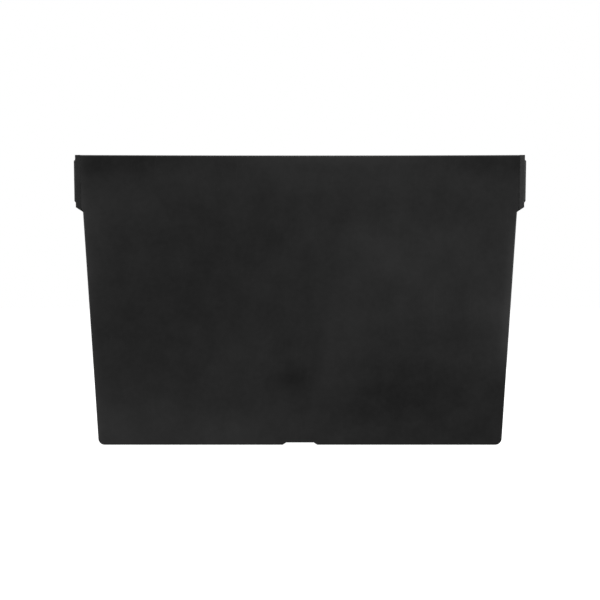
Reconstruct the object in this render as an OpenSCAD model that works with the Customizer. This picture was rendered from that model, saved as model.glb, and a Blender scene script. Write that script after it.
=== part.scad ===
// Divider for an attached lid tote: one flat panel that drops across the tote,
// with a moulded end rail clipped over each ear. +X to the right, +Y to the back,
// +Z up, origin at the middle of the foot.

/* [Panel] */
// Height of the panel, foot to top edge
panel_h = 289.8; // [220:0.1:360]
// Thickness of the panel
panel_t = 3; // [2.4:0.1:5]
// Thickness of the tongue at each end of the panel, inside the rails
tongue_t = 1.4; // [1.2:0.1:2]
// Width just under the shoulders
body_top_w = 434; // [400:1:436]
// Width across the foot, before its corners are rounded
foot_w = 402.5; // [360:0.5:420]
// Radius of the two bottom corners
corner_r = 6.5; // [2:0.5:12]

/* [Ears] */
// Width at the top edge, over both end rails
top_w = 450; // [448:1:460]
// Height of an ear, top edge to the outer end of its shoulder
ear_h = 52.3; // [40:0.1:70]
// How far each ear's end leans in over the height of the ear
ear_lean = 0.9; // [0:0.1:2]
// Slope of the shoulders and of the notch's ends, from level
shoulder_angle = 33.5; // [25:0.5:45]

/* [Foot notch] */
// Width of the notch at its roof
notch_w = 27.6; // [15:0.1:60]
// Depth of the notch
notch_depth = 2.3; // [1:0.1:6]

/* [End rails] */
// Width of a rail, seen from the front
rail_w = 5.4; // [4.5:0.1:5.6]
// Thickness of a rail at its inner edges, front to back
rail_t = 3.8; // [3.6:0.1:8]
// Thickness of a rail at its outer face, front to back
nose_t = 2.6; // [2.4:0.1:5]
// Thickness of the rail's web, outside the panel's edge
rail_web = 1; // [0.8:0.1:1.5]
// Chamfer along the rail's four long edges
rail_chamfer = 0.4; // [0.2:0.1:0.5]
// Width of the grip rib on the rail's outer face, front to back
rib_t = 1.6; // [1:0.1:1.8]
// Length of the grip rib
rib_length = 43.5; // [30:0.5:45]
// Distance from the top edge down to the grip rib
rib_drop = 4.6; // [3:0.1:8]
// How far the grip rib stands out
rib_proud = 1.3; // [0.4:0.1:1.5]
// Length of the ramp at each end of the grip rib
rib_ramp = 1.6; // [0.5:0.1:3]

/* [Snap fit] */
// Distance from the rail's outer face to the middle of its snap ridge
snap_x = 3.4; // [2.8:0.1:3.6]
// Width of the snap ridge at its root
ridge_w = 1; // [0.6:0.1:1.2]
// Width of the snap ridge at its crest
ridge_crest = 0.4; // [0.2:0.1:0.5]
// Height of the snap ridge
ridge_h = 0.2; // [0.15:0.05:0.3]
// Clearance between ridge and groove, and past the panel's edge
snap_gap = 0.1; // [0.05:0.05:0.2]

/* [Hidden] */
$fn = 96;

lean_angle = atan(ear_lean / ear_h);
shoulder_z = panel_h - ear_h;
ear_bottom_x = top_w / 2 - ear_lean;
body_top_x = body_top_w / 2;
body_top_z = shoulder_z - (ear_bottom_x - body_top_x) * tan(shoulder_angle);
foot_x = foot_w / 2;
side_angle = atan((body_top_x - foot_x) / body_top_z);
// The panel's edge lies inside the rail, a web and a gap in from the rail's outer face.
edge_inset = (rail_web + snap_gap) / cos(lean_angle);
tongue_top_x = top_w / 2 - edge_inset;
// Where the inset edge meets the line of the shoulder
tongue_drop = edge_inset / (1 / tan(shoulder_angle) - tan(lean_angle));
tongue_bottom_z = shoulder_z - tongue_drop;
tongue_bottom_x = ear_bottom_x - edge_inset - tongue_drop * tan(lean_angle);
notch_foot_x = notch_w / 2 + notch_depth / tan(shoulder_angle);
// Corner arc: its centre stands one radius in from the foot and from the side.
corner_x = foot_x - corner_r * tan((90 - side_angle) / 2);
// Side of a cutting cube larger than the whole divider
cut = 2 * top_w;
// How far a cross-section is drawn past the faces that trim it
past = 2;
black = "#1f1f1f";
rail_black = "#1a1a1a";

// Lays a shape drawn in X and Z over the thickness t of a plate.
module upright(t) {
    translate([0, t / 2, 0])
        rotate([90, 0, 0])
            linear_extrude(height = t)
                children();
}

// Right half of the panel's outline. The circle fills the corner that the polygon steps
// around.
module half_outline() {
    polygon([
        [0, notch_depth],
        [notch_w / 2, notch_depth],
        [notch_foot_x, 0],
        [corner_x, 0],
        [corner_x, corner_r],
        [corner_x + corner_r * cos(side_angle), corner_r - corner_r * sin(side_angle)],
        [body_top_x, body_top_z],
        [tongue_bottom_x, tongue_bottom_z],
        [tongue_top_x, panel_h],
        [0, panel_h]
    ]);
    translate([corner_x, corner_r])
        circle(r = corner_r);
}

// Places children at the right-hand ear: local Z runs up the ear's leaning end,
// local X points out of it, and local zero is the rail's outer face at the top edge.
module at_ear() {
    translate([top_w / 2, 0, panel_h])
        rotate([0, lean_angle, 0])
            children();
}

// Extrudes a cross-section, drawn in X and Y, down the whole right-hand ear.
module along_ear() {
    at_ear()
        translate([0, 0, -ear_h - rail_w - past])
            linear_extrude(height = ear_h + rail_w + 2 * past)
                children();
}

// What thins the right-hand ear to a tongue inside its rail: a rebate in each face, and
// a groove in the rebate for the rail's snap ridge.
module ear_cuts() {
    groove_w = ridge_w + 2 * snap_gap;
    groove_depth = ridge_h + snap_gap;
    along_ear()
        for (side = [0, 1])
            mirror([0, side]) {
                translate([-rail_w - snap_gap, tongue_t / 2])
                    square([rail_w + past, panel_t]);
                translate([-snap_x - groove_w / 2, tongue_t / 2 - groove_depth])
                    square([groove_w, panel_t]);
            }
}

module divider_panel() {
    color(black)
        difference() {
            upright(panel_t)
                union() {
                    half_outline();
                    mirror([1, 0])
                        half_outline();
                }
            ear_cuts();
            mirror([1, 0, 0])
                ear_cuts();
        }
}

// Half of the rail's channel section, from the middle of the panel to the front. Its
// outside tapers towards the outer face, so that the rail centres itself in a slot.
module half_section() {
    slot = tongue_t / 2;
    nose = nose_t / 2;
    outer = rail_t / 2;
    taper = (outer - nose) / rail_w;
    polygon([
        [0, 0],
        [0, nose - rail_chamfer],
        [-rail_chamfer, nose + taper * rail_chamfer],
        [rail_chamfer - rail_w, outer - taper * rail_chamfer],
        [-rail_w, outer - rail_chamfer],
        [-rail_w, slot],
        [-snap_x - ridge_w / 2, slot],
        [-snap_x - ridge_crest / 2, slot - ridge_h],
        [-snap_x + ridge_crest / 2, slot - ridge_h],
        [-snap_x + ridge_w / 2, slot],
        [-rail_web, slot],
        [-rail_web, 0]
    ]);
}

// Grip rib on the rail's outer face, with a ramp at each end and its root sunk
// into the web.
module grip_rib() {
    root_x = -rail_web / 2;
    rib_end = rib_drop + rib_length;
    upright(rib_t)
        polygon([
            [root_x, -rib_drop],
            [0, -rib_drop],
            [rib_proud, -rib_drop - rib_ramp],
            [rib_proud, rib_ramp - rib_end],
            [0, -rib_end],
            [root_x, -rib_end]
        ]);
}

// Everything below the line of the right-hand shoulder.
module under_shoulder() {
    translate([ear_bottom_x, 0, shoulder_z])
        rotate([0, -shoulder_angle, 0])
            translate([-cut / 2, -cut / 2, -cut])
                cube(cut);
}

module end_rail() {
    color(rail_black)
        difference() {
            union() {
                along_ear() {
                    half_section();
                    mirror([0, 1])
                        half_section();
                }
                at_ear()
                    grip_rib();
            }
            under_shoulder();
            translate([-cut / 2, -cut / 2, panel_h])
                cube(cut);
        }
}

module end_rail_right() {
    end_rail();
}

module end_rail_left() {
    mirror([1, 0, 0])
        end_rail();
}

divider_panel();
end_rail_left();
end_rail_right();
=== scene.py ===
"""Looks of a divider for an attached lid tote: a flat moulded panel with a channel
rail clipped over each ear, in black plastic, on a pale studio floor.

The panel and the rails shown here are finer meshes of the CAD solids that they stand
for, with mould radii, a flash line, a slight warp and the marks of use. Lengths are in
metres, in the CAD frame: +X to the right, +Y to the back, +Z up.
"""
import math

import bpy
import numpy as np
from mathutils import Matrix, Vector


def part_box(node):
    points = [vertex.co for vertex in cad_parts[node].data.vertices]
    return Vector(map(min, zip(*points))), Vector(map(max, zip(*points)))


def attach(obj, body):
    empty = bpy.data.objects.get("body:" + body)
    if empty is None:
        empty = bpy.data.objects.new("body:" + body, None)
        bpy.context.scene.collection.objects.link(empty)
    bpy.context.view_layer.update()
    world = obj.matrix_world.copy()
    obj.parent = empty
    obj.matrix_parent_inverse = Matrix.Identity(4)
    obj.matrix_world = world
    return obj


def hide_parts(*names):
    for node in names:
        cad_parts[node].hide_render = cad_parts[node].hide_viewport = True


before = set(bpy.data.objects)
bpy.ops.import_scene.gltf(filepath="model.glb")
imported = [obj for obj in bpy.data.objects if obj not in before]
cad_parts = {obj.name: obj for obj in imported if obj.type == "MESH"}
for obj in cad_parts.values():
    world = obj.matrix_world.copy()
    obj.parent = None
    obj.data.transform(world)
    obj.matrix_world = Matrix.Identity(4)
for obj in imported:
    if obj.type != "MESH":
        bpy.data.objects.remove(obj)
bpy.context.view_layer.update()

BODY = "divider"
MM = 0.001

# The frame gives the panel's height, its thickness and its width at the ears.
PANEL_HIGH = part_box("divider_panel")[1]
HEIGHT = PANEL_HIGH.z
HALF_THICK = PANEL_HIGH.y
TONGUE_TOP_X = PANEL_HIGH.x

# The rest of the outline, as the CAD source has it.
BODY_TOP_X = 217 * MM
FOOT_X = 201.25 * MM
CORNER_R = 6.5 * MM
EAR_HEIGHT = 52.3 * MM
EAR_LEAN = 0.9 * MM
SHOULDER_SLOPE = math.tan(math.radians(33.5))
NOTCH_X = 13.8 * MM
NOTCH_DEPTH = 2.3 * MM
RAIL_WIDTH = 5.4 * MM
RAIL_WEB = 1 * MM
RAIL_HALF_THICK = 1.9 * MM
GAP = 0.1 * MM
NOSE_HALF_THICK = 1.3 * MM
TONGUE_HALF_THICK = 0.7 * MM
RIB_HALF_THICK = 0.8 * MM
RIB_DROP = 4.6 * MM
RIB_LENGTH = 43.5 * MM
RIB_PROUD = 1.3 * MM
RIB_RAMP = 1.6 * MM

# Mould radii and witness lines, too small for the CAD model. A rail pressed home leaves
# a narrower seam beside it than the CAD model's clearance.
SEAM_GAP = 0.03 * MM
NOTCH_R = 1.7 * MM
SHOULDER_R = 1.0 * MM
REBATE_FOOT_R = 1.6 * MM
REBATE_TOP_R = 0.6 * MM
EDGE_R = 1.1 * MM
SEAM_R = 0.12 * MM
SEAM_REACH = 1.4 * MM
SEAM_FOOT = 4 * MM
EDGE_SUPPORT = 0.3 * MM
DRAFT = 0.05 * MM
FLASH_PROUD = 0.1 * MM
FLASH_HALF_THICK = 0.13 * MM
RAIL_OUTER_R = 0.5 * MM
RAIL_INNER_R = 0.22 * MM
RAIL_END_R = 0.12 * MM
RAIL_END_SUPPORT = 0.06 * MM
RIB_FLANK = 0.2 * MM

# How finely curves and flat stretches are cut into faces.
ARC_ERROR = 0.008 * MM
PANEL_CELL = 3 * MM
RAIL_CELL = 1.5 * MM
RIB_CELL = 0.1 * MM
TONGUE_RINGS = 12
# How fast the bends of the foot and the top die out in the rows between them.
BEND_FADE = 12

# The outline's other corners, worked out as the CAD source does. Only the rebate's wall
# differs: it stands the narrower seam away from the rail.
LEAN = EAR_LEAN / EAR_HEIGHT
LEAN_STRETCH = math.hypot(1, LEAN)
RAIL_TOP_X = TONGUE_TOP_X + (RAIL_WEB + GAP) * LEAN_STRETCH
REBATE_TOP_X = RAIL_TOP_X - (RAIL_WIDTH + SEAM_GAP) * LEAN_STRETCH
SHOULDER_Z = HEIGHT - EAR_HEIGHT
EAR_BOTTOM_X = RAIL_TOP_X - EAR_LEAN
BODY_TOP_Z = SHOULDER_Z - (EAR_BOTTOM_X - BODY_TOP_X) * SHOULDER_SLOPE
NOTCH_FOOT_X = NOTCH_X + NOTCH_DEPTH / SHOULDER_SLOPE

# What moulding and use did to the panel.
WARP = 0.2 * MM
TOP_SAG = 0.5 * MM
SINK_SPOT = (-7 * MM, 66 * MM)
SINK_R = 12 * MM
SINK_DEPTH = 0.12 * MM
# Soft patches of painted reflection and painted shade on the front: middle across and up
# and reach across and up, in millimetres, the way the reach is turned in degrees, and how
# much lighter (above 0) or darker the plastic is painted.
PAINTED_PATCHES = [
    (-208, 280, 105, 13, 7, -0.8),
    (-162, 284, 22, 9, 0, 0.2),
    (203, 283, 70, 16, -4, -0.75),
    (222, 238, 22, 16, 0, 0.3),
    (30, 290, 110, 10, 0, 1.1),
    (25, 268, 160, 16, 0, 0.4),
    (-205, 238, 60, 22, 0, 0.7),
    (-216, 178, 26, 50, 0, 0.6),
    (-110, 165, 80, 80, 0, -0.2),
    (-215, 12, 60, 40, 0, 0.9),
    (-80, 10, 98, 32, 0, 1.0),
    (-60, 80, 42, 28, 30, 0.35),
    (-7, 66, 19, 15, 0, -0.65),
    (38, 75, 22, 50, 0, 0.35),
    (115, 185, 95, 80, 0, 0.42),
    (185, 225, 45, 60, 0, -0.15),
    (50, 118, 50, 16, 0, 0.3),
    (100, 180, 52, 18, -32, 0.35),
    (112, 46, 74, 36, 0, -0.7),
    (207, 120, 30, 52, 0, 0.85),
    (90, 132, 30, 20, 0, 0.2),
    (206, 40, 14, 20, 0, -0.6),
]
# A painted highlight makes the plastic lighter by this much at the sides. On the left it
# fades out inwards. On the right it is a strip with soft ends, from the first height to the last.
SIDE_HIGHLIGHT = 1.3
LEFT_FADE = 3.5 * MM
RIGHT_STRIP_INNER = 11 * MM
RIGHT_STRIP_FULL = 1 * MM
RIGHT_STRIP_HEIGHTS = (60 * MM, 105 * MM, 190 * MM, 240 * MM)
# Small nicks in the front, across and up, in millimetres, and how ragged they are.
NICKS = [(-80, 256), (18, 185), (86, 32), (-177, 104), (-40, 203), (-38, 47)]
NICK_R = 1.1 * MM
NICK_RAGGED = 1.4 * MM


def smooth(low, high, values):
    """0 below low, 1 above high, and an S-curve between; high may be below low."""
    share = np.clip((values - low) / (high - low), 0, 1)
    return share * share * (3 - 2 * share)


# ---------------------------------------------------------------- paths


def rounded_corner(before, corner, after, radius):
    """Points of the arc that rounds a corner, in an even number of steps, tangent to
    the straight runs on both sides of it."""
    came, goes = corner - before, after - corner
    came, goes = came / np.linalg.norm(came), goes / np.linalg.norm(goes)
    turn = math.atan2(came[0] * goes[1] - came[1] * goes[0], came @ goes)
    start = corner - came * radius * math.tan(abs(turn) / 2)
    side = math.copysign(1, turn) * np.array([-came[1], came[0]])
    centre = start + side * radius
    finest = 2 * math.acos(1 - ARC_ERROR / radius)
    steps = 2 * max(2, math.ceil(abs(turn) / finest / 2))
    angles = turn * np.arange(steps + 1) / steps
    arm = start - centre
    return centre + np.stack([
        arm[0] * np.cos(angles) - arm[1] * np.sin(angles),
        arm[0] * np.sin(angles) + arm[1] * np.cos(angles),
    ], axis=1)


def add_straight(points, end, cell):
    """Continues a path in a straight line, with points no further apart than cell."""
    start = points[-1]
    steps = max(1, math.ceil(np.linalg.norm(end - start) / cell))
    points.extend(start + (end - start) * k / steps for k in range(1, steps + 1))


def rounded_path(corners, cells):
    """A path through (a, b, radius) corners, as points no further apart than each
    run's cell, and the index of each rounded corner's middle point."""
    cells = np.broadcast_to(cells, len(corners) - 1)
    spots = [np.array(corner[:2]) for corner in corners]
    points, middles = [spots[0]], []
    for k in range(1, len(corners) - 1):
        arc = rounded_corner(spots[k - 1], spots[k], spots[k + 1], corners[k][2])
        add_straight(points, arc[0], cells[k - 1])
        middles.append(len(points) - 1 + len(arc) // 2)
        points.extend(arc[1:])
    add_straight(points, spots[-1], cells[-1])
    return np.array(points), middles


def outward(points, first, last):
    """How far each point of a path moves when its right side moves out by 1. The ends
    move as they are told."""
    runs = np.diff(points, axis=0)
    runs /= np.linalg.norm(runs, axis=1)[:, None]
    sides = np.stack([runs[:, 1], -runs[:, 0]], axis=1)
    between = sides[1:] + sides[:-1]
    between /= np.linalg.norm(between, axis=1)[:, None]
    mitre = np.sum(between * sides[1:], axis=1)[:, None]
    return np.vstack([first, between / mitre, last])


def quarter_round():
    """(depth, inset) pairs round a mould radius of 1, from the flat to the side."""
    angles = np.radians([0, 22.5, 45, 67.5, 90])
    return np.stack([1 - np.cos(angles), 1 - np.sin(angles)], axis=1)


# ---------------------------------------------------------------- meshes


def strip(first, second):
    """Quads between two closed loops of point numbers."""
    ahead_1, ahead_2 = np.roll(first, -1), np.roll(second, -1)
    return np.stack([first, second, ahead_2, ahead_1], axis=1).tolist()


def grid_faces(numbers):
    """Quads of a grid of point numbers, rows upwards, facing the front."""
    corners = [numbers[:-1, :-1], numbers[:-1, 1:], numbers[1:, 1:], numbers[1:, :-1]]
    return np.stack([c.ravel() for c in corners], axis=1)


def new_piece(name, points, faces, material, node):
    """A smooth-shaded piece that rides on the divider and stands for a CAD node."""
    mesh = bpy.data.meshes.new(name)
    mesh.from_pydata(points.tolist(), [], faces)
    mesh.shade_smooth()
    mesh.materials.append(material)
    piece = bpy.data.objects.new(name, mesh)
    bpy.context.scene.collection.objects.link(piece)
    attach(piece, BODY)
    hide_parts(node)
    return piece


def add_values(piece, name, values):
    """Gives each of the piece's points a number that its material reads."""
    attribute = piece.data.attributes.new(name, "FLOAT", "POINT")
    attribute.data.foreach_set("value", values.astype(np.float32))


# ---------------------------------------------------------------- ears


def ear_foot(start_x):
    """The height at which a line down the right-hand ear, leaning as the ear does from
    start_x at the top, meets the shoulder."""
    fall = LEAN * SHOULDER_SLOPE
    meets = SHOULDER_Z - (EAR_BOTTOM_X - start_x) * SHOULDER_SLOPE - HEIGHT * fall
    return meets / (1 - fall)


def ear_ring(across, y, down):
    """A ring of points round the right-hand ear, level at the top of the ear and on the
    shoulder's slope at its bottom. Across is measured from the rail's outer face."""
    start_x = RAIL_TOP_X + across * LEAN_STRETCH
    z = HEIGHT - (HEIGHT - ear_foot(start_x)) * down / EAR_HEIGHT
    return np.stack([start_x - (HEIGHT - z) * LEAN, y, z], axis=1)


def ear_bar(rings, side):
    """The points and faces of a bar through rings from the top down; side is 1 for the
    right-hand ear and -1 for its mirror image."""
    numbers = np.arange(len(rings) * len(rings[0])).reshape(len(rings), -1)
    faces = [numbers[0].tolist(), numbers[-1, ::-1].tolist()]
    for upper, lower in zip(numbers, numbers[1:]):
        faces += strip(upper, lower)
    if side < 0:
        faces = [face[::-1] for face in faces]
    return np.vstack(rings) * [side, 1, 1], faces


# ---------------------------------------------------------------- panel


def rebate_line(z):
    """How far out the rebate's wall is at height z."""
    return REBATE_TOP_X - (HEIGHT - z) * LEAN


def right_half_outline():
    """The right half of the panel's outline as far as the rebate under the rail, from
    the middle of the notch round to the middle of the top edge, and the indices of the
    two points where the foot turns into the side and the side into the top edge."""
    rebate_z = ear_foot(REBATE_TOP_X)
    points, middles = rounded_path([
        (0, NOTCH_DEPTH, 0),
        (NOTCH_X, NOTCH_DEPTH, NOTCH_R),
        (NOTCH_FOOT_X, 0, NOTCH_R),
        (FOOT_X, 0, CORNER_R),
        (BODY_TOP_X, BODY_TOP_Z, SHOULDER_R),
        (rebate_line(rebate_z), rebate_z, REBATE_FOOT_R),
        (REBATE_TOP_X, HEIGHT, REBATE_TOP_R),
        (0, HEIGHT, 0),
    ], PANEL_CELL)
    foot_turn, top_turn = middles[2], middles[5]
    # The top edge takes as many points as the foot, above the foot's own points.
    arc_end = top_turn + np.argmax(np.isclose(points[top_turn:, 1], HEIGHT, atol=1e-9))
    last = foot_turn - (arc_end - top_turn)
    share = points[:last, 0][::-1] / points[last, 0]
    top = np.stack([points[arc_end, 0] * share, np.full(last, HEIGHT)], axis=1)
    return np.vstack([points[: arc_end + 1], top]), foot_turn, top_turn


def between_edges(foot, side, top, centre):
    """A grid of points between four edges that meet at their ends: foot and top run
    outwards, side and centre run upwards. The rows run straight from centre to side,
    except near the foot and the top, which bend them to their own shape."""
    u = (foot[:, 0] / foot[-1, 0])[:, None]
    v = ((side[:, 1] - side[0, 1]) / (side[-1, 1] - side[0, 1]))[:, None, None]
    rows = (1 - u) * centre[:, None] + u * side[:, None]
    foot_bend = foot - (1 - u) * foot[0] - u * foot[-1]
    top_bend = top - (1 - u) * top[0] - u * top[-1]
    return rows + (1 - v) ** BEND_FADE * foot_bend + v**BEND_FADE * top_bend


def edge_profile(half):
    """(inset from the outline, y) of each loop down the panel's edge, front to back: a
    mould radius, a drafted wall, and the flash line standing a little proud in the
    middle. Beside the rails the radius is small and there is no flash."""
    x, z = half.T
    foot = ear_foot(REBATE_TOP_X)
    free = np.maximum(
        smooth(0, SEAM_REACH, rebate_line(z) - x),
        smooth(foot + SEAM_FOOT, foot + REBATE_FOOT_R, z),
    )
    wall = (FLASH_PROUD + DRAFT) * free
    radius = SEAM_R + (EDGE_R - SEAM_R) * free
    face, level = np.full_like(free, -HALF_THICK), np.ones_like(free)
    front = [(wall + radius + EDGE_SUPPORT, face)]
    front += [(wall + inset * radius, face + depth * radius) for depth, inset in quarter_round()]
    front.append((FLASH_PROUD * free, -2 * FLASH_HALF_THICK * level))
    front.append((0 * level, -FLASH_HALF_THICK / 2 * level))
    return front + [(inset, -y) for inset, y in reversed(front)]


def mirrored_loop(half):
    """A closed loop of points from its right half, foot to top."""
    return np.vstack([half, half[-2:0:-1] * [-1, 1, 1]])


def boundary(numbers):
    """The point numbers round a grid's edge, in the order of a mirrored loop."""
    middle = numbers.shape[1] // 2
    return np.concatenate([
        numbers[0, middle:-1],
        numbers[:-1, -1],
        numbers[-1, :0:-1],
        numbers[:0:-1, 0],
        numbers[0, :middle],
    ])


def half_width(z):
    """The panel's half width at height z, without the rounding of its corners."""
    side = FOOT_X + (BODY_TOP_X - FOOT_X) * z / BODY_TOP_Z
    shoulder = BODY_TOP_X + (z - BODY_TOP_Z) / SHOULDER_SLOPE
    return np.where(z < BODY_TOP_Z, side, np.minimum(shoulder, rebate_line(z)))


def warp(x, z):
    """How far the moulded panel is out of flat, along Y. It is held true at the ears,
    where the rails clip on."""
    across, up = x / BODY_TOP_X, z / HEIGHT
    bow = np.cos(1.5 * across + 0.4) * np.cos(2.2 * up - 0.9)
    twist = 0.8 * across * (up - 0.4)
    ripple = 0.25 * np.sin(5.1 * across - 2.0 * up) * np.cos(4.3 * up)
    ear = smooth(0.86, 0.98, np.abs(across)) * smooth(0.68, 0.8, up)
    return WARP * (bow + twist + ripple) * (1 - ear)


def moulded(points):
    """The panel's points as moulding leaves them, a little off the true CAD shape."""
    x, y, z = points.T
    sag = TOP_SAG * np.maximum(1 - (x / TONGUE_TOP_X) ** 2, 0) * smooth(0, HEIGHT, z)
    apart = np.hypot(x - SINK_SPOT[0], z - SINK_SPOT[1])
    sink = SINK_DEPTH * np.exp(-((apart / SINK_R) ** 2)) * (y < 0)
    return np.stack([x, y + warp(x, z) + sink, z - sag], axis=1)


def painted_light_and_shade(x, z):
    """The sum of the front's soft patches of painted reflection and shade and of its painted
    highlights at the sides, at each point.
    """
    total = np.zeros_like(x)
    for middle_x, middle_z, reach_x, reach_z, turned, strength in PAINTED_PATCHES:
        cos, sin = math.cos(math.radians(turned)), math.sin(math.radians(turned))
        right, up = x / MM - middle_x, z / MM - middle_z
        along, aside = (right * cos + up * sin) / reach_x, (up * cos - right * sin) / reach_z
        total += strength * np.exp(-(along**2) - aside**2)
    inward = np.maximum(half_width(z) - np.abs(x), 0)
    starts, full, fading, ends = RIGHT_STRIP_HEIGHTS
    left = np.exp(-inward / LEFT_FADE)
    right = smooth(RIGHT_STRIP_INNER, RIGHT_STRIP_FULL, inward)
    right *= smooth(starts, full, z) * smooth(ends, fading, z)
    return total + SIDE_HIGHLIGHT * np.where(x < 0, left, right)


def edge_distance(x, z):
    """How far each of the panel's points is from its nearest free edge. The edges
    beside the rails are out of reach of wear."""
    covered = smooth(BODY_TOP_Z, SHOULDER_Z, z)
    side = half_width(z) - np.abs(x) + 2 * EDGE_R * covered
    return np.maximum(np.minimum.reduce([side, z, HEIGHT - z]), 0)


def plate_mesh():
    """The points and faces of the panel as far as the rebates: a grid on the front and
    on the back, and loops of points round the edge between them."""
    half, foot_turn, top_turn = right_half_outline()
    out = outward(half, (0, -1), (0, 1))
    profile = edge_profile(half)
    inner = half - out * profile[0][0][:, None]
    foot, side = inner[: foot_turn + 1], inner[foot_turn : top_turn + 1]
    top = inner[top_turn:][::-1]
    rise = ((side[:, 1] - side[0, 1]) / (side[-1, 1] - side[0, 1]))[:, None]
    right = between_edges(foot, side, top, foot[0] + (top[0] - foot[0]) * rise)
    plate = np.concatenate([right[:, :0:-1] * [-1, 1], right], axis=1)

    count = plate.shape[0] * plate.shape[1]
    front = np.arange(count).reshape(plate.shape[:2])
    back = front + count
    flat = plate.reshape(-1, 2)
    points = [np.insert(flat, 1, y, axis=1) for y in (-HALF_THICK, HALF_THICK)]
    faces = grid_faces(front).tolist() + grid_faces(back)[:, ::-1].tolist()
    loop, total = boundary(front), 2 * count
    for inset, y in profile[1:-1]:
        x, z = (half - out * inset[:, None]).T
        ring = mirrored_loop(np.stack([x, y, z], axis=1))
        points.append(ring)
        numbers = np.arange(total, total + len(ring))
        faces += strip(loop, numbers)
        loop, total = numbers, total + len(ring)
    faces += strip(loop, boundary(back))
    return np.vstack(points), faces


def tongue_mesh(side):
    """The tongue that stands out of the panel's ear into the rail. It starts inside the
    panel and ends just short of the rail's ends."""
    outer, inner = -RAIL_WEB - GAP, -RAIL_WIDTH - GAP - HALF_THICK / 2
    across = np.array([outer, inner, inner, outer])
    y = np.array([1, 1, -1, -1]) * TONGUE_HALF_THICK
    downs = np.linspace(GAP, EAR_HEIGHT - GAP, TONGUE_RINGS)
    return ear_bar([ear_ring(across, y, down) for down in downs], side)


def panel_mesh():
    """The panel's true points and its faces: the plate and the two tongues."""
    points, faces = plate_mesh()
    for side in (1, -1):
        more_points, more_faces = tongue_mesh(side)
        faces += [[number + len(points) for number in face] for face in more_faces]
        points = np.vstack([points, more_points])
    return points, faces


def build_panel(material):
    points, faces = panel_mesh()
    piece = new_piece("panel", moulded(points), faces, material, "divider_panel")
    x, y, z = points.T
    # The back has the same painted reflections and shade, upside down, wider and fainter.
    cloud = np.where(y < 0, painted_light_and_shade(x, z), 0.5 * painted_light_and_shade(0.8 * x, HEIGHT - z))
    # The cloud values are painted reflections, shade and side highlights.
    add_values(piece, "cloud", cloud)
    add_values(piece, "edge_distance", edge_distance(x, z))


# ---------------------------------------------------------------- rails


def rail_section():
    """The closed outline of the right-hand rail's channel, seen from above, from the
    middle of its outer face: across from that face, and along Y."""
    lip, slot, nose = RAIL_HALF_THICK, TONGUE_HALF_THICK, NOSE_HALF_THICK
    corners = [
        (0, 0, 0),
        (0, nose, RAIL_OUTER_R),
        (-RAIL_WIDTH, lip, RAIL_INNER_R),
        (-RAIL_WIDTH, slot, RAIL_INNER_R),
        (-RAIL_WEB, slot, RAIL_INNER_R),
        (-RAIL_WEB, -slot, RAIL_INNER_R),
        (-RAIL_WIDTH, -slot, RAIL_INNER_R),
        (-RAIL_WIDTH, -lip, RAIL_INNER_R),
        (0, -nose, RAIL_OUTER_R),
        (0, 0, 0),
    ]
    path = rounded_path(corners, [RIB_CELL] + [RAIL_CELL] * 7 + [RIB_CELL])[0]
    out = outward(path, (1, 0), (1, 0))
    return path[:-1], out[:-1]


def stations(stops, cells):
    """Numbers from the first stop to the last, through every stop, and in each run no
    further apart than its cell."""
    runs = [
        np.linspace(a, b, math.ceil((b - a) / cell), endpoint=False)
        for a, b, cell in zip(stops, stops[1:], cells)
    ]
    return np.append(np.concatenate(runs), stops[-1])


def rail_stations():
    """(distance down the outer face, inset) of each ring of the rail's points."""
    ramp_1, ramp_2 = RIB_DROP + RIB_RAMP, RIB_DROP + RIB_LENGTH - RIB_RAMP
    stops = [RAIL_END_R, RIB_DROP, ramp_1, ramp_2, RIB_DROP + RIB_LENGTH, EAR_HEIGHT - RAIL_END_R]
    plain = stations(stops, [RAIL_CELL, RIB_CELL, RAIL_CELL, RIB_CELL, RAIL_CELL])
    end = [(0, RAIL_END_R + RAIL_END_SUPPORT)]
    end += [(depth * RAIL_END_R, inset * RAIL_END_R) for depth, inset in quarter_round()]
    other_end = [(EAR_HEIGHT - down, inset) for down, inset in reversed(end)]
    return end + [(down, 0) for down in plain[1:-1]] + other_end


def rib_height(y, down):
    """How far the grip rib stands out of the rail's outer face."""
    flank = smooth(RIB_HALF_THICK, RIB_HALF_THICK - RIB_FLANK, np.abs(y))
    end = RIB_DROP + RIB_LENGTH
    ramps = smooth(RIB_DROP, RIB_DROP + RIB_RAMP, down) * smooth(end, end - RIB_RAMP, down)
    return RIB_PROUD * flank * ramps


def build_rail(name, side, material):
    """One end rail; side is 1 for the right-hand one and -1 for its mirror image."""
    section, out = rail_section()
    rings, ribs = [], []
    for down, inset in rail_stations():
        across, y = (section - out * inset).T
        ribs.append(rib_height(y, down) * (across > -RAIL_WEB / 2))
        rings.append(ear_ring(across + ribs[-1], y, down))
    points, faces = ear_bar(rings, side)
    piece = new_piece(name, points, faces, material, "end_" + name)
    add_values(piece, "rub", np.concatenate(ribs) / RIB_PROUD)


# ---------------------------------------------------------------- materials


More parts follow.
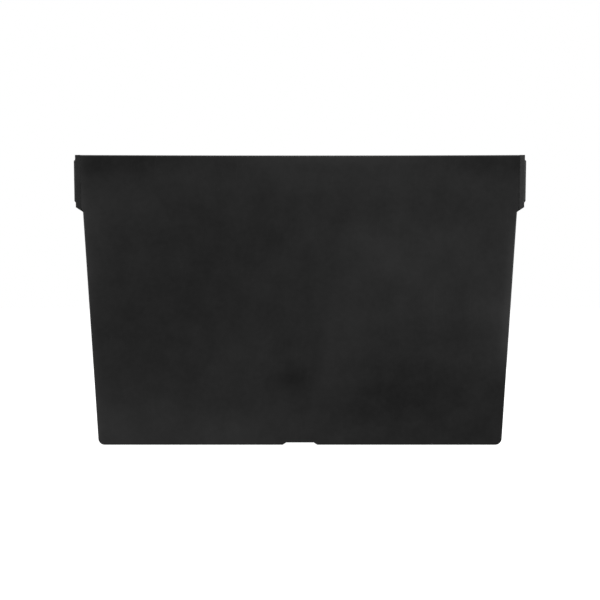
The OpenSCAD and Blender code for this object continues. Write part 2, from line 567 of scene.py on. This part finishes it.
class Shading:
    """One material, and short calls that add nodes to it."""

    def __init__(self, name):
        self.material = bpy.data.materials.new(name)
        self.material.use_nodes = True
        self.tree = self.material.node_tree
        self.shader = self.tree.nodes["Principled BSDF"]
        self.place = self.node("ShaderNodeTexCoord", "Object")

    def feed(self, socket, value):
        """Links a socket to another node's output, or sets it to a plain value."""
        if isinstance(value, bpy.types.NodeSocket):
            self.tree.links.new(value, socket)
        else:
            socket.default_value = value

    def node(self, kind, output, inputs=(), **settings):
        """Adds a node and returns the output that was asked for."""
        made = self.tree.nodes.new(kind)
        for name, value in settings.items():
            setattr(made, name, value)
        for name, value in dict(inputs).items():
            self.feed(made.inputs[name], value)
        return made.outputs[output]

    def math(self, operation, first, second=0.0):
        made = self.tree.nodes.new("ShaderNodeMath")
        made.operation = operation
        self.feed(made.inputs[0], first)
        self.feed(made.inputs[1], second)
        return made.outputs[0]

    def noise(self, size, detail):
        """Noise about 0.5 with features of the given size."""
        inputs = {"Vector": self.place, "Scale": 1 / size, "Detail": detail}
        return self.node("ShaderNodeTexNoise", "Fac", inputs)

    def stretched(self, sizes, tilt=0.0):
        """The place, tilted about Y, then measured in units of the sizes."""
        return self.node(
            "ShaderNodeMapping", "Vector",
            {"Vector": self.place, "Rotation": (0, tilt, 0), "Scale": sizes},
            vector_type="TEXTURE",
        )

    def spread(self, value, low, high):
        """0 where value is low, 1 where it is high, and an S-curve between."""
        inputs = {"Value": value, "From Min": low, "From Max": high}
        return self.node("ShaderNodeMapRange", "Result", inputs, interpolation_type="SMOOTHSTEP")

    def point_value(self, name):
        return self.node("ShaderNodeAttribute", "Fac", attribute_name=name)

    def scratches(self, sizes, tilt, rarity):
        """Fine lines: the crests of a noise that is much longer than it is wide."""
        lines = self.node(
            "ShaderNodeTexNoise", "Fac",
            {"Vector": self.stretched(sizes, tilt), "Scale": 1.0, "Detail": 1.0},
        )
        return self.spread(lines, rarity, rarity + 0.06)

    def specks(self, spacing, radius, rarity):
        """Sparse round dots: the cells of a Voronoi pattern that chance picks out."""
        cells = {"Vector": self.place, "Scale": 1 / spacing}
        near = self.node("ShaderNodeTexVoronoi", "Distance", cells)
        chance = self.node("ShaderNodeTexVoronoi", "Color", cells)
        dot = self.spread(near, radius / spacing, 0.5 * radius / spacing)
        return self.math("MULTIPLY", dot, self.spread(chance, rarity, rarity + 0.01))

    def nicks(self, spots, radius):
        """1 at each of a few spots on the front, in millimetres across and up."""
        worn = 0.0
        wobble = {"Vector": self.place, "Scale": 1.5 / MM}
        ragged = self.node("ShaderNodeTexNoise", "Color", wobble)
        shaken = self.node(
            "ShaderNodeVectorMath", "Vector",
            {0: ragged, 1: [NICK_RAGGED] * 3, 2: self.place},
            operation="MULTIPLY_ADD",
        )
        for across, up in spots:
            spot = (across * MM, -HALF_THICK, up * MM)
            away = self.node(
                "ShaderNodeVectorMath", "Value", {0: shaken, 1: spot}, operation="DISTANCE",
            )
            worn = self.math("ADD", worn, self.spread(away, radius, 0.6 * radius))
        return worn

    def bumps(self, heights):
        """Adds (height, depth in metres) layers of relief to the surface's normal."""
        normal = None
        for height, depth in heights:
            inputs = {"Height": height, "Distance": depth, "Strength": 1.0}
            if normal:
                inputs["Normal"] = normal
            normal = self.node("ShaderNodeBump", "Normal", inputs)
        self.feed(self.shader.inputs["Normal"], normal)

    def total(self, *terms):
        """The sum of (value, weight) terms."""
        result = 0.0
        for value, weight in terms:
            result = self.math("ADD", self.math("MULTIPLY", value, weight), result)
        return result


def panel_plastic():
    """Black polyethylene as moulded: a fine spark-eroded grain, tone that varies at random
    under painted reflections, shade and side highlights, rubbed edges, hairline scratches,
    a few nicks and a little dust."""
    s = Shading("panel_plastic")
    # Painted reflections, shade and side highlights from the points, and tone that varies at
    # random in three sizes.
    painted_light_and_tone = s.total(
        (s.point_value("cloud"), 1.0),
        (s.math("SUBTRACT", s.noise(75 * MM, 2), 0.5), 1.0),
        (s.math("SUBTRACT", s.noise(24 * MM, 2), 0.5), 0.9),
        (s.math("SUBTRACT", s.noise(5 * MM, 2), 0.5), 0.7),
    )
    near_edge = s.point_value("edge_distance")
    ragged = s.math("ADD", near_edge, s.math("MULTIPLY", s.noise(4 * MM, 4), -1.6 * MM))
    rubbed = s.spread(ragged, 0.6 * MM, -0.6 * MM)
    slid = s.scratches((0.5 * MM, 8 * MM, 60 * MM), 0.05, 0.7)
    knocked = s.scratches((0.4 * MM, 8 * MM, 25 * MM), 1.1, 0.73)
    scored = s.math("MAXIMUM", slid, knocked)
    dust = s.specks(5 * MM, 0.4 * MM, 0.9)
    nicks = s.nicks(NICKS, NICK_R)

    # The base colour carries the painted light and shade as well as the random tone.
    tone = s.math("MAXIMUM", s.math("ADD", painted_light_and_tone, 1.0), 0.12)
    marks = s.total((rubbed, 0.008), (scored, 0.004), (dust, 0.05), (nicks, 0.012))
    base = s.math("ADD", s.math("MULTIPLY", tone, 0.0109), marks)
    s.feed(s.shader.inputs["Base Color"], base)
    rough = s.total((s.noise(25 * MM, 3), 0.12), (rubbed, 0.08), (scored, 0.06), (painted_light_and_tone, 0.02))
    s.feed(s.shader.inputs["Roughness"], s.math("ADD", rough, 0.3))
    s.shader.inputs["Specular IOR Level"].default_value = 0.45
    s.bumps([
        (s.noise(9 * MM, 2), 0.02 * MM),
        (s.noise(0.45 * MM, 2), 0.012 * MM),
        (scored, -0.01 * MM),
        (nicks, -0.05 * MM),
    ])
    return s.material


def rail_plastic():
    """A harder black plastic than the panel's, smoother, with draw marks down it and
    its rib rubbed by the walls of the slot."""
    s = Shading("rail_plastic")
    drawn = s.node(
        "ShaderNodeTexNoise", "Fac",
        {"Vector": s.stretched((0.3 * MM, 0.3 * MM, 18 * MM)), "Scale": 1.0, "Detail": 2.0},
    )
    crest = s.point_value("rub")
    rubbed = s.math("MULTIPLY", crest, s.spread(drawn, 0.4, 0.6))
    cloud = s.noise(12 * MM, 3)
    base = s.total((cloud, 0.01), (rubbed, 0.02), (s.spread(drawn, 0.55, 0.75), 0.004))
    s.feed(s.shader.inputs["Base Color"], s.math("ADD", base, 0.004))
    rough = s.total((cloud, 0.1), (drawn, 0.1), (rubbed, 0.08))
    s.feed(s.shader.inputs["Roughness"], s.math("ADD", rough, 0.32))
    s.bumps([(drawn, 0.01 * MM), (s.noise(0.5 * MM, 2), 0.006 * MM)])
    return s.material


# ---------------------------------------------------------------- studio

FLOOR_SIZE = 60
FLOOR_DROP = 0.05 * MM
CAMERA_DISTANCE = 2.0
CAMERA_DROP = 0.12 * MM


def studio_floor():
    """A pale floor, a hair below the foot. The divider neither mirrors it nor takes its
    light, so its own glow only keeps it pale."""
    bpy.ops.mesh.primitive_plane_add(size=FLOOR_SIZE, location=(0, 0, -FLOOR_DROP))
    floor = bpy.context.object
    floor.name = "floor"
    floor.visible_glossy = False
    floor.visible_diffuse = False
    material = bpy.data.materials.new("pale_floor")
    material.use_nodes = True
    shader = material.node_tree.nodes["Principled BSDF"]
    shader.inputs["Base Color"].default_value = (0.8, 0.8, 0.8, 1)
    shader.inputs["Roughness"].default_value = 0.9
    shader.inputs["Emission Color"].default_value = (1, 1, 1, 1)
    shader.inputs["Emission Strength"].default_value = 0.72
    floor.data.materials.append(material)


def studio_world():
    """White behind everything, and a dimmer soft light all round."""
    world = bpy.data.worlds.new("studio")
    bpy.context.scene.world = world
    world.use_nodes = True
    tree = world.node_tree
    soft = tree.nodes["Background"]
    soft.inputs["Color"].default_value = (0.25, 0.25, 0.25, 1)
    white = tree.nodes.new("ShaderNodeBackground")
    white.inputs["Color"].default_value = (1.0, 1.0, 1.0, 1)
    path = tree.nodes.new("ShaderNodeLightPath")
    mix = tree.nodes.new("ShaderNodeMixShader")
    tree.links.new(path.outputs["Is Camera Ray"], mix.inputs["Fac"])
    tree.links.new(soft.outputs[0], mix.inputs[1])
    tree.links.new(white.outputs[0], mix.inputs[2])
    tree.links.new(mix.outputs[0], tree.nodes["World Output"].inputs["Surface"])


def place_light(name, kind, place, watts):
    """A light at a place, aimed at the frame's origin, the middle of the foot."""
    light = bpy.data.lights.new(name, kind)
    light.energy = watts
    lamp = bpy.data.objects.new(name, light)
    bpy.context.scene.collection.objects.link(lamp)
    lamp.location = place
    lamp.rotation_mode = "QUATERNION"
    lamp.rotation_quaternion = (-lamp.location).to_track_quat("-Z", "Y")
    return light


def softbox(name, place, size, watts):
    place_light(name, "AREA", place, watts).size = size


def studio_camera():
    """Square on, all but level with the panel's middle, far enough to flatten
    perspective."""
    data = bpy.data.cameras.new("camera")
    data.lens = 120
    data.sensor_width = 36
    camera = bpy.data.objects.new("camera", data)
    bpy.context.scene.collection.objects.link(camera)
    camera.location = (0, -CAMERA_DISTANCE, HEIGHT / 2 - CAMERA_DROP)
    camera.rotation_euler = (math.radians(90), 0, 0)
    bpy.context.scene.camera = camera
    bpy.context.scene.view_settings.view_transform = "Standard"


studio_camera()
studio_world()
studio_floor()
place_light("overhead", "SUN", (0.2, -0.6, 3), 1.0).angle = math.radians(60)
softbox("right_box", (1.5, -1.3, 0.9), 1.2, 18)
softbox("left_box", (-1.6, -1.2, 0.8), 1.2, 8)
softbox("rear_box", (0.5, 2.0, 1.2), 1.5, 10)

build_panel(panel_plastic())
rail_material = rail_plastic()
build_rail("rail_right", 1, rail_material)
build_rail("rail_left", -1, rail_material)
